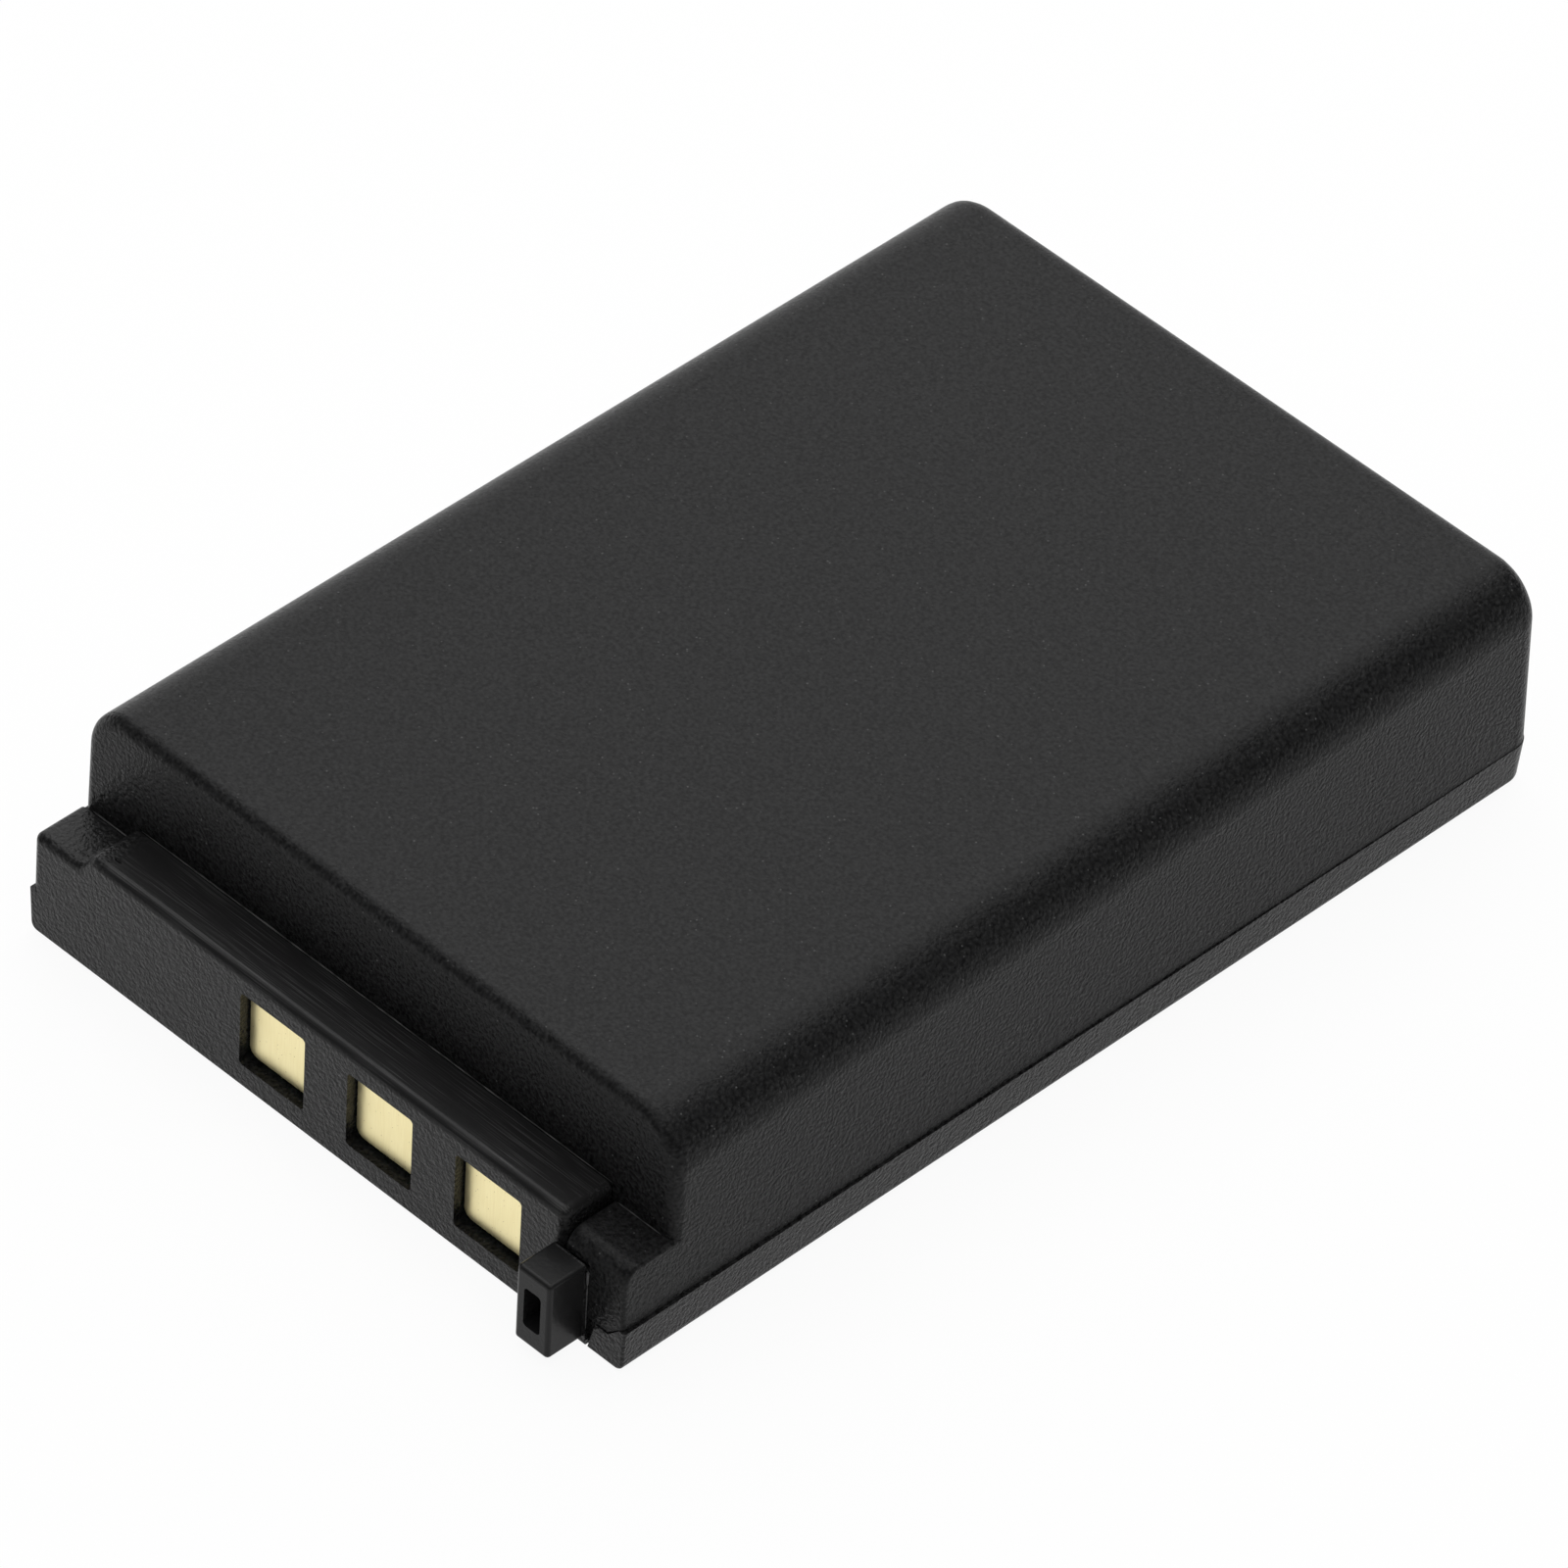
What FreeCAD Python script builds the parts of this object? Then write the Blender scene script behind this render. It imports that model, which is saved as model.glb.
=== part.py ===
import FreeCAD, Part
import math
import os
import re

import Sketcher

# Barcode scanner battery: a hard-case lithium-ion pack of two black mouldings round one prismatic cell.
# Every body is drawn from the middle of the contact end's lower edge: X across, Y to the rear, Z up.
# The bodies are then set back together, so that the origin is under the middle of the whole pack.

doc = FreeCAD.newDocument("scanner_battery")
sheet = doc.addObject("Spreadsheet::Sheet", "Sizes")

# Driving sizes in millimetres, with angles in degrees
SIZES = {
    # Case
    "case_width": 35.1,
    "case_length": 52.92,
    "case_height": 11.1,
    "draft_angle": 1.0,
    "long_edge_radius": 2.4,
    "curtain_edge_radius": 0.6,
    "rear_edge_radius": 1.0,
    "side_wall": 0.8,
    "top_wall": 0.75,
    "floor_wall": 0.75,
    "joint_gap": 0.05,
    # Rim of the lower cover
    "parting_height": 2.15,
    "rim_step": 0.15,
    "rim_rear_step": 0.02,
    "rim_taper": 0.12,
    "rim_rear_taper": 0.15,
    "rim_corner_radius": 1.0,
    "rim_front_radius": 0.12,
    "rim_foot_radius": 0.39,
    "lap_height": 0.8,
    "lap_thickness": 0.35,
    # Contact end
    "ledge_depth": 2.65,
    "ledge_height": 5.35,
    "ledge_edge_radius": 0.4,
    "strip_width": 27.85,
    "strip_ramp": 0.62,
    "ramp_crest_radius": 0.6,
    "ramp_foot_radius": 0.4,
    "strip_rise": 0.9,
    "curtain_lap": 0.4,
    "shoulder_gap": 0.15,
    "shoulder_recess": 0.05,
    "shoulder_front_radius": 0.85,
    "shoulder_side_radius": 0.2,
    "shoulder_foot_drop": 0.55,
    "shoulder_foot_run": 0.6,
    "window_width": 3.8,
    "window_height": 3.9,
    "window_sill": 1.2,
    "window_pitch": 6.3,
    "window_middle": 3.3,
    "window_corner_radius": 0.2,
    # Key lug
    "lug_middle": 14.3,
    "lug_width": 1.92,
    "lug_height": 4.0,
    "lug_underside": 0.4,
    "lug_reach": 2.0,
    "lug_edge_radius": 0.17,
    "lug_tip_radius": 0.2,
    "root_margin": 0.08,
    "root_drop": 0.25,
    "root_thickness": 0.9,
    "slot_middle": 14.3,
    "slot_width": 0.95,
    "slot_height": 2.07,
    "slot_sill": 1.0,
    "slot_depth": 1.2,
    "slot_corner_radius": 0.2,
    "relief_width": 0.15,
    "relief_lean": 0.4,
    "relief_depth": 0.3,
    # Contacts and board
    "contact_thickness": 0.3,
    "contact_gap": 0.1,
    "contact_rise": 0.3,
    "contact_corner_radius": 0.5,
    "board_thickness": 0.8,
    "board_gap": 0.1,
    "pad_width": 3.2,
    "pad_height": 3.2,
    "pad_thickness": 0.3,
    "pad_inset": 0.5,
    "pad_margin": 0.3,
    "ic_width": 2.9,
    "ic_height": 1.6,
    "ic_thickness": 1.1,
    "ic_place": -1.6,
    "ic_pitch": 0.95,
    "mosfet_width": 3.0,
    "mosfet_height": 2.6,
    "mosfet_thickness": 0.9,
    "mosfet_place": 3.4,
    "mosfet_pitch": 0.65,
    "lead_width": 0.3,
    "lead_length": 0.5,
    "lead_thickness": 0.2,
    "chip_width": 0.8,
    "chip_height": 1.6,
    "chip_thickness": 0.5,
    "thermistor_place": -7.4,
    "resistor_place": -5.2,
    "capacitor_place": 6.8,
    # Cell
    "cell_setback": 5.0,
    "cell_side_gap": 0.15,
    "cell_rear_gap": 0.2,
    "cell_corner_radius": 3.2,
    "cell_base_radius": 0.8,
    "tape_thickness": 0.1,
    "tape_width": 20.0,
    "tape_inset": 5.0,
    "gasket_width": 4.0,
    "gasket_height": 3.0,
    "gasket_thickness": 0.3,
    "terminal_width": 3.0,
    "terminal_height": 2.0,
    "terminal_thickness": 0.4,
    "card_thickness": 0.2,
    "card_margin": 1.0,
    "card_spacing": 0.6,
    "fuse_spacing": 1.0,
    "ribbon_thickness": 0.15,
    "ribbon_width": 2.6,
    "ribbon_overlap": 2.4,
    "ribbon_clearance": 0.3,
}

for row, (alias, value) in enumerate(SIZES.items(), start=1):
    sheet.set(f"A{row}", alias)
    sheet.set(f"B{row}", str(value))
    sheet.setAlias(f"B{row}", alias)
doc.recompute()


# Drawing tools

def bound(text):
    """The expression with each size that it names read from the sheet."""
    return re.sub(r"[a-z]+(?:_[a-z]+)+", lambda word: "Sizes." + word.group(), text)


def value_of(text):
    return float(sheet.evalExpression(bound(text)))


def new_body(label):
    body = doc.addObject("PartDesign::Body", label)
    body.Label = label
    return body


def sketch_on(body, name, role, place="0"):
    """A sketch parallel to an origin plane: XY at a height, XZ at a distance to the rear, YZ at a side."""
    sketch = body.newObject("Sketcher::SketchObject", body.Label + "_" + name)
    plane = [item for item in body.Origin.OriginFeatures if item.Role == role + "_Plane"][0]
    sketch.AttachmentSupport = [(plane, "")]
    sketch.MapMode = "FlatFace"
    sign = "-" if role == "XZ" else ""
    sketch.setExpression("AttachmentOffset.Base.z", bound(f"{sign}({place})"))
    return sketch


def outline(sketch, corners):
    """A closed outline whose corners are pairs of expressions measured from the sketch's origin."""
    first = sketch.GeometryCount
    spots = [FreeCAD.Vector(value_of(across), value_of(up), 0) for across, up in corners]
    for index, spot in enumerate(spots):
        after = spots[(index + 1) % len(spots)]
        sketch.addGeometry(Part.LineSegment(spot, after), False)
    for index in range(len(spots)):
        after = first + (index + 1) % len(spots)
        sketch.addConstraint(Sketcher.Constraint("Coincident", first + index, 2, after, 1))
    for index, (corner, spot) in enumerate(zip(corners, spots)):
        for kind, text, length in zip(("DistanceX", "DistanceY"), corner, (spot.x, spot.y)):
            rule = sketch.addConstraint(Sketcher.Constraint(kind, -1, 1, first + index, 1, length))
            sketch.setExpression(f"Constraints[{rule}]", bound(text))


def rectangle(sketch, left, right, low, high):
    outline(sketch, [(left, low), (right, low), (right, high), (left, high)])


def rounded_rectangle(sketch, left, right, low, high, radius):
    """A rectangle with round corners, drawn anticlockwise from its low side."""
    turn = value_of(radius)
    inner_left, inner_right = value_of(left) + turn, value_of(right) - turn
    inner_low, inner_high = value_of(low) + turn, value_of(high) - turn
    sides = [
        ((inner_left, inner_low - turn), (inner_right, inner_low - turn)),
        ((inner_right + turn, inner_low), (inner_right + turn, inner_high)),
        ((inner_right, inner_high + turn), (inner_left, inner_high + turn)),
        ((inner_left - turn, inner_high), (inner_left - turn, inner_low)),
    ]
    middles = [
        (inner_right, inner_low),
        (inner_right, inner_high),
        (inner_left, inner_high),
        (inner_left, inner_low),
    ]
    lines = []
    arcs = []
    for quarter, ((start, end), middle) in enumerate(zip(sides, middles)):
        side = Part.LineSegment(FreeCAD.Vector(*start), FreeCAD.Vector(*end))
        lines.append(sketch.addGeometry(side, False))
        circle = Part.Circle(FreeCAD.Vector(*middle), FreeCAD.Vector(0, 0, 1), turn)
        begin = (quarter - 1) * math.pi / 2
        arcs.append(sketch.addGeometry(Part.ArcOfCircle(circle, begin, begin + math.pi / 2), False))
    for quarter in range(4):
        sketch.addConstraint(Sketcher.Constraint("Tangent", lines[quarter], 2, arcs[quarter], 1))
        sketch.addConstraint(Sketcher.Constraint("Tangent", arcs[quarter], 2, lines[(quarter + 1) % 4], 1))
        sketch.addConstraint(Sketcher.Constraint(("Horizontal", "Vertical")[quarter % 2], lines[quarter]))
    for arc in arcs[1:]:
        sketch.addConstraint(Sketcher.Constraint("Equal", arcs[0], arc))
    rule = sketch.addConstraint(Sketcher.Constraint("Radius", arcs[0], turn))
    sketch.setExpression(f"Constraints[{rule}]", bound(radius))
    for line, text in zip(lines, (low, right, high, left)):
        kind = "DistanceX" if text in (left, right) else "DistanceY"
        rule = sketch.addConstraint(Sketcher.Constraint(kind, -1, 1, line, 1, value_of(text)))
        sketch.setExpression(f"Constraints[{rule}]", bound(text))


def settle(feature):
    """Work a feature out, and stop where it fails."""
    doc.recompute()
    if "Invalid" in feature.State or "Error" in feature.State:
        raise RuntimeError(feature.Label + " failed to build")
    return feature


def pad(body, name, sketch, length, to_rear=False):
    """Material along the sketch's normal: up from XY, forward from XZ unless it goes to the rear."""
    feature = body.newObject("PartDesign::Pad", body.Label + "_" + name)
    feature.Profile = sketch
    feature.setExpression("Length", bound(length))
    feature.Reversed = to_rear
    return settle(feature)


def pocket(body, name, sketch, length, upward=False):
    """A cut against the sketch's normal: to the rear from XZ, down from XY unless it goes upward."""
    before = body.Shape.Volume
    feature = body.newObject("PartDesign::Pocket", body.Label + "_" + name)
    feature.Profile = sketch
    feature.setExpression("Length", bound(length))
    feature.Reversed = upward
    settle(feature)
    if body.Shape.Volume >= before:
        raise RuntimeError(feature.Label + " cuts nothing")
    return feature


def edges_of(body, wanted):
    """Names of the edges of the body's last feature that the test picks."""
    return [f"Edge{index}" for index, edge in enumerate(body.Tip.Shape.Edges, start=1) if wanted(edge)]


def near(number, text):
    return abs(number - value_of(text)) < 0.001


def runs_along(edge, axis):
    """Whether an edge is straight and parallel to an axis, give or take the draft and taper."""
    if len(edge.Vertexes) < 2:
        return False
    run = edge.Vertexes[1].Point - edge.Vertexes[0].Point
    straight = abs(run.Length - edge.Length) < 0.001
    return straight and abs(getattr(run, axis)) > 0.95 * run.Length


def fillet(body, name, radius, wanted):
    feature_edges = edges_of(body, wanted)
    base = body.Tip
    feature = body.newObject("PartDesign::Fillet", body.Label + "_" + name)
    feature.Base = (base, feature_edges)
    feature.setExpression("Radius", bound(radius))
    return settle(feature)


# Places that several pieces share
SLOPE = "tan(draft_angle * 1 deg)"
CASE_SIDE = "(case_width / 2 - rim_step)"
INNER_SIDE = "(case_width / 2 - rim_step - side_wall)"
INNER_REAR = "(case_length - rim_rear_step - side_wall)"
CURTAIN_BACK = "(ledge_depth + side_wall)"
STRIP_END = "(strip_width / 2)"
STRIP_TOP = "(ledge_height + strip_rise)"
SHOULDER_LEFT = "(strip_width / 2 + shoulder_gap)"
CHEEK_TOP = "(ledge_height - ledge_edge_radius)"
LUG_TOP = "(lug_underside + lug_height)"
ROOT_RIGHT = "(lug_middle + lug_width / 2 + root_margin)"
FOOT_LEVEL = "(parting_height - shoulder_foot_drop)"
FOOT_RIGHT = f"({CASE_SIDE} - shoulder_side_radius - joint_gap)"
WINDOW_TOP = "(window_sill + window_height)"
BOARD_SIDE = "(strip_width / 2 - side_wall - board_gap)"
BOARD_BACK = "(side_wall + board_thickness)"
BOARD_MIDDLE = f"((floor_wall + {STRIP_TOP} - side_wall) / 2)"
PAD_BACK = "(side_wall + board_thickness + pad_thickness)"
CELL_SIDE = "(case_width / 2 - rim_step - side_wall - cell_side_gap)"
CELL_LOW = "(floor_wall + tape_thickness)"
CELL_HIGH = "(case_height - top_wall - tape_thickness)"
CELL_MIDDLE = f"(({CELL_LOW} + {CELL_HIGH}) / 2)"
PAD_OUTER = f"({BOARD_SIDE} - pad_inset)"
PAD_INNER = f"({BOARD_SIDE} - pad_inset - pad_width)"
RIBBON_BEND = f"({PAD_INNER} + pad_margin + ribbon_thickness)"
RIBBON_START = f"({RIBBON_BEND} - ribbon_overlap)"
RIBBON_TOP = "(ledge_height - curtain_lap - ribbon_clearance)"
RIBBON_FOOT = f"({RIBBON_TOP} - ribbon_width)"
CARD_FACE = "(cell_setback - card_thickness)"
TERMINAL_FACE = "(cell_setback - gasket_thickness - terminal_thickness)"


def side_at(height):
    """Half width of the drafted case at a height."""
    return f"({CASE_SIDE} - ({height} - parting_height) * {SLOPE})"


def lap_ring(sketch, thickness, start):
    """The lapped joint between the mouldings, a U along both sides and the rear."""
    side = f"({INNER_SIDE} + {thickness})"
    rear = f"({INNER_REAR} + {thickness})"
    outline(sketch, [
        (INNER_SIDE, start),
        (side, start),
        (side, rear),
        ("-" + side, rear),
        ("-" + side, start),
        ("-" + INNER_SIDE, start),
        ("-" + INNER_SIDE, INNER_REAR),
        (INNER_SIDE, INNER_REAR),
    ])


def make_upper_case():
    """Deep moulding: top, drafted sides and rear, curtain wall above the ledge, and the right shoulder."""
    body = new_body("upper_case")
    blank = sketch_on(body, "side_view", "YZ", f"-{CASE_SIDE}")
    lean = f"(case_height - parting_height) * {SLOPE}"
    front_top = f"(ledge_depth + {lean})"
    rear_top = f"(case_length - rim_rear_step - {lean})"
    outline(blank, [
        ("ledge_depth", "parting_height"),
        ("case_length - rim_rear_step", "parting_height"),
        (rear_top, "case_height"),
        (front_top, "case_height"),
    ])
    pad(body, "blank", blank, f"2 * {CASE_SIDE}")

    draft = sketch_on(body, "side_draft", "XZ")
    for sign in ("", "-"):
        outline(draft, [
            (sign + CASE_SIDE, "parting_height"),
            (sign + CASE_SIDE, "case_height"),
            (sign + side_at("case_height"), "case_height"),
        ])
    pocket(body, "draft_cut", draft, "case_length")

    cavity = sketch_on(body, "cavity_view", "XZ", CURTAIN_BACK)
    rectangle(cavity, "-" + INNER_SIDE, INNER_SIDE, "0", "case_height - top_wall")
    pocket(body, "cavity", cavity, f"{INNER_REAR} - {CURTAIN_BACK}")
    fillet(body, "cavity_edges", "long_edge_radius - side_wall",
           lambda edge: runs_along(edge, "y") and near(edge.CenterOfMass.z, "case_height - top_wall"))

    fillet(body, "long_edges", "long_edge_radius",
           lambda edge: runs_along(edge, "y") and near(edge.CenterOfMass.z, "case_height"))

    def above_parting(edge):
        return not near(edge.BoundBox.ZMax, "parting_height")
    fillet(body, "curtain_edges", "curtain_edge_radius",
           lambda edge: above_parting(edge) and edge.BoundBox.YMax < value_of(front_top) + 0.001)
    fillet(body, "rear_edges", "rear_edge_radius",
           lambda edge: above_parting(edge) and edge.BoundBox.YMin > value_of(rear_top) - 0.001)

    # The shoulder beside the key lug, and the left cheek, carry the side walls down to the parting line
    shoulder = sketch_on(body, "shoulder_view", "XZ", "shoulder_recess")
    outline(shoulder, [
        (SHOULDER_LEFT, "parting_height"),
        (side_at("parting_height"), "parting_height"),
        (side_at("ledge_height"), "ledge_height"),
        (SHOULDER_LEFT, "ledge_height"),
    ])
    pad(body, "shoulder", shoulder, "ledge_depth + curtain_edge_radius - shoulder_recess", to_rear=True)
    cheek = sketch_on(body, "cheek_view", "XZ", "ledge_depth")
    outline(cheek, [
        ("-" + side_at("parting_height"), "parting_height"),
        ("-" + INNER_SIDE, "parting_height"),
        ("-" + INNER_SIDE, CHEEK_TOP),
        ("-" + side_at(CHEEK_TOP), CHEEK_TOP),
    ])
    pad(body, "cheek", cheek, "curtain_edge_radius", to_rear=True)

    def at_shoulder_front(edge):
        box = edge.BoundBox
        return near(box.YMin, "shoulder_recess") and near(box.YMax, "shoulder_recess")
    fillet(body, "shoulder_front", "shoulder_front_radius",
           lambda edge: at_shoulder_front(edge) and runs_along(edge, "x")
           and near(edge.BoundBox.ZMax, "ledge_height"))
    fillet(body, "shoulder_side", "shoulder_side_radius",
           lambda edge: at_shoulder_front(edge) and runs_along(edge, "z")
           and edge.BoundBox.XMin > value_of(SHOULDER_LEFT) + 0.1)

    # The shoulder's foot hangs in front of the rim, down to a line that rises to the corner
    foot = sketch_on(body, "foot_view", "XZ", "shoulder_recess")
    outline(foot, [
        (f"{ROOT_RIGHT} + joint_gap", FOOT_LEVEL),
        (f"{FOOT_RIGHT} - shoulder_foot_run", FOOT_LEVEL),
        (FOOT_RIGHT, "parting_height"),
        (FOOT_RIGHT, "parting_height + lap_height"),
        (f"{ROOT_RIGHT} + joint_gap", "parting_height + lap_height"),
    ])
    pad(body, "foot", foot, "relief_depth - shoulder_recess - joint_gap", to_rear=True)

    opening = sketch_on(body, "opening_view", "XZ")
    rectangle(opening, "-" + INNER_SIDE, SHOULDER_LEFT, "0", "ledge_height - curtain_lap")
    pocket(body, "opening", opening, f"{CURTAIN_BACK} + curtain_edge_radius")
    hollow = sketch_on(body, "hollow_plan", "XY", "parting_height")
    rectangle(hollow, f"{SHOULDER_LEFT} + side_wall", INNER_SIDE,
              "root_thickness + joint_gap + side_wall", f"{CURTAIN_BACK} + curtain_edge_radius")
    pocket(body, "hollow", hollow, "ledge_height - side_wall - parting_height", upward=True)
    notch = sketch_on(body, "notch_view", "XZ")
    rectangle(notch, STRIP_END, f"{ROOT_RIGHT} + joint_gap", "0", f"{LUG_TOP} + joint_gap")
    pocket(body, "notch", notch, "root_thickness + joint_gap")
    rebate = sketch_on(body, "rebate_plan", "XY", "parting_height")
    lap_ring(rebate, "lap_thickness", CURTAIN_BACK)
    pocket(body, "rebate", rebate, "lap_height + joint_gap", upward=True)
    return body


def make_lower_cover():
    """Shallow tray with a proud rim, the contact housing with its raised strip, and the key lug."""
    body = new_body("lower_cover")
    blank = sketch_on(body, "side_view", "YZ", "-case_width / 2")
    outline(blank, [
        ("0", "0"),
        ("case_length - rim_rear_taper", "0"),
        ("case_length", "parting_height"),
        ("0", "parting_height"),
    ])
    pad(body, "blank", blank, "case_width")
    # The sides lean in towards the foot, and close in on the case towards the rear
    sketch_up = FreeCAD.Vector(0, 1, 0)
    for name, sign in (("right", ""), ("left", "-")):
        taper = sketch_on(body, name + "_taper", "XZ", "-rim_step")
        turn = FreeCAD.Rotation(sketch_up, 1)
        taper.AttachmentOffset = FreeCAD.Placement(taper.AttachmentOffset.Base, turn)
        closing = f"{sign}atan((rim_step - rim_rear_step) / case_length)"
        taper.setExpression("AttachmentOffset.Rotation.Angle", bound(closing))
        outline(taper, [
            (sign + "(case_width / 2 - rim_taper)", "0"),
            (sign + "(case_width / 2 + rim_step)", "0"),
            (sign + "(case_width / 2 + rim_step)", "parting_height"),
            (sign + "(case_width / 2)", "parting_height"),
        ])
        pocket(body, name + "_taper_cut", taper, "case_length + 2 * rim_step")

    middle = value_of("case_length / 2")
    fillet(body, "rear_corners", "rim_corner_radius",
           lambda edge: runs_along(edge, "z") and edge.CenterOfMass.y > middle)
    fillet(body, "foot_edges", "rim_foot_radius",
           lambda edge: edge.BoundBox.ZMax < 0.001 and edge.BoundBox.YMax > 0.001)

    cavity = sketch_on(body, "cavity_plan", "XY", "parting_height")
    rectangle(cavity, "-" + INNER_SIDE, INNER_SIDE, "side_wall", INNER_REAR)
    pocket(body, "cavity", cavity, "parting_height - floor_wall")
    lip = sketch_on(body, "lip_plan", "XY", "parting_height")
    lap_ring(lip, "lap_thickness - joint_gap", f"{CURTAIN_BACK} + joint_gap")
    pad(body, "lip", lip, "lap_height")

    # Contact housing: the ledge, with the raised strip over the windows
    housing = sketch_on(body, "housing_view", "XZ")
    outline(housing, [
        ("-" + INNER_SIDE, "floor_wall"),
        (STRIP_END, "floor_wall"),
        (STRIP_END, STRIP_TOP),
        ("-" + STRIP_END, STRIP_TOP),
        (f"-({STRIP_END} + strip_ramp)", "ledge_height"),
        ("-" + side_at("ledge_height"), "ledge_height"),
        ("-" + side_at("parting_height"), "parting_height"),
        ("-" + INNER_SIDE, "parting_height"),
    ])
    pad(body, "housing", housing, "ledge_depth - joint_gap", to_rear=True)

    fillet(body, "ramp_crest", "ramp_crest_radius",
           lambda edge: runs_along(edge, "y") and near(edge.CenterOfMass.z, STRIP_TOP)
           and near(edge.CenterOfMass.x, "-" + STRIP_END))
    fillet(body, "ramp_foot", "ramp_foot_radius",
           lambda edge: runs_along(edge, "y") and near(edge.CenterOfMass.z, "ledge_height")
           and near(edge.CenterOfMass.x, f"-({STRIP_END} + strip_ramp)"))

    def round_the_ledge(edge):
        box = edge.BoundBox
        at_front = box.YMax < 0.001
        front_top = at_front and runs_along(edge, "x") and box.ZMin > value_of("ledge_height") - 0.001
        left_corner = at_front and runs_along(edge, "z") and box.XMax < -value_of(CASE_SIDE) + 0.3
        right_corner = at_front and runs_along(edge, "z") and near(box.XMax, STRIP_END)
        right_top = runs_along(edge, "y") and near(box.ZMax, STRIP_TOP) and near(box.XMax, STRIP_END)
        left_top = runs_along(edge, "y") and near(box.XMin, "-" + side_at("ledge_height"))
        above_rim = box.ZMin > value_of("parting_height") - 0.001
        return above_rim and (front_top or left_corner or right_corner or right_top or left_top)
    fillet(body, "ledge_edges", "ledge_edge_radius", round_the_ledge)

    def round_a_front_corner(edge):
        box = edge.BoundBox
        return runs_along(edge, "z") and box.YMax < 0.001 and near(box.ZMax, "parting_height")
    fillet(body, "front_corners", "rim_front_radius", round_a_front_corner)

    root = sketch_on(body, "root_view", "XZ")
    rectangle(root, f"{STRIP_END} - side_wall / 2", ROOT_RIGHT, "floor_wall", f"{LUG_TOP} - root_drop")
    pad(body, "root", root, "root_thickness", to_rear=True)
    relief = sketch_on(body, "relief_view", "XZ")
    outline(relief, [
        (ROOT_RIGHT, "0"),
        (f"{ROOT_RIGHT} + relief_width", "0"),
        (f"{ROOT_RIGHT} + relief_width + relief_lean", f"{FOOT_LEVEL} - joint_gap"),
        (f"{FOOT_RIGHT} - shoulder_foot_run + joint_gap", f"{FOOT_LEVEL} - joint_gap"),
        (f"{FOOT_RIGHT} + joint_gap", "parting_height"),
        (ROOT_RIGHT, "parting_height"),
    ])
    pocket(body, "relief", relief, "relief_depth")

    room = sketch_on(body, "room_view", "XZ", "side_wall")
    room_left = f"(side_wall - {side_at('ledge_height')})"
    outline(room, [
        (room_left, "floor_wall"),
        (f"{STRIP_END} - side_wall", "floor_wall"),
        (f"{STRIP_END} - side_wall", f"{STRIP_TOP} - side_wall"),
        (f"side_wall - {STRIP_END}", f"{STRIP_TOP} - side_wall"),
        (f"side_wall - {STRIP_END}", "ledge_height - side_wall"),
        (room_left, "ledge_height - side_wall"),
    ])
    pocket(body, "room", room, "ledge_depth")

    window = sketch_on(body, "window_view", "XZ")
    first_middle = "(window_middle - window_pitch)"
    rectangle(window, f"{first_middle} - window_width / 2", f"{first_middle} + window_width / 2",
              "window_sill", WINDOW_TOP)
    opening = pocket(body, "window", window, "side_wall + joint_gap")
    windows = body.newObject("PartDesign::LinearPattern", "lower_cover_windows")
    windows.Originals = [opening]
    windows.Direction = (window, ["H_Axis"])
    windows.setExpression("Length", bound("2 * window_pitch"))
    windows.Occurrences = 3
    body.Tip = windows
    settle(windows)

    def round_a_window(edge):
        box = edge.BoundBox
        at_level = near(box.ZMin, "window_sill") or near(box.ZMin, WINDOW_TOP)
        return runs_along(edge, "y") and at_level and box.YMin < 0.001
    fillet(body, "window_corners", "window_corner_radius", round_a_window)

    # Key lug with its slot
    lug = sketch_on(body, "lug_view", "XZ")
    rounded_rectangle(lug, "lug_middle - lug_width / 2", "lug_middle + lug_width / 2",
                      "lug_underside", LUG_TOP, "lug_edge_radius")
    pad(body, "lug", lug, "lug_reach")
    fillet(body, "lug_tip", "lug_tip_radius", lambda edge: near(edge.BoundBox.YMax, "-lug_reach"))
    slot = sketch_on(body, "slot_view", "XZ", "-lug_reach")
    rectangle(slot, "slot_middle - slot_width / 2", "slot_middle + slot_width / 2",
              "lug_underside + slot_sill", "lug_underside + slot_sill + slot_height")
    pocket(body, "slot", slot, "slot_depth")
    fillet(body, "slot_corners", "slot_corner_radius",
           lambda edge: runs_along(edge, "y") and near(edge.BoundBox.YMin, "-lug_reach")
           and near(edge.BoundBox.YMax, "slot_depth - lug_reach"))
    return body


def make_plate(label, left, right, low, high, front, thickness, corner=None):
    """A flat plate that stands across the pack, from a distance behind the contact end to the rear."""
    body = new_body(label)
    face = sketch_on(body, "face", "XZ", front)
    rectangle(face, left, right, low, high)
    pad(body, "plate", face, thickness, to_rear=True)
    if corner:
        fillet(body, "corners", corner, lambda edge: runs_along(edge, "y"))
    return body


def make_contacts():
    """Three gold-plated plates on the board, one behind each window."""
    bodies = []
    for step, name in ((-1, "plus"), (0, "temp"), (1, "minus")):
        middle = f"(window_middle + {step} * window_pitch)"
        half = "(window_width / 2 - contact_gap)"
        bodies.append(make_plate(
            "contact_" + name, f"{middle} - {half}", f"{middle} + {half}",
            "window_sill + contact_rise", f"{WINDOW_TOP} - contact_gap",
            "side_wall - contact_thickness", "contact_thickness", "contact_corner_radius"))
    return bodies


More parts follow.
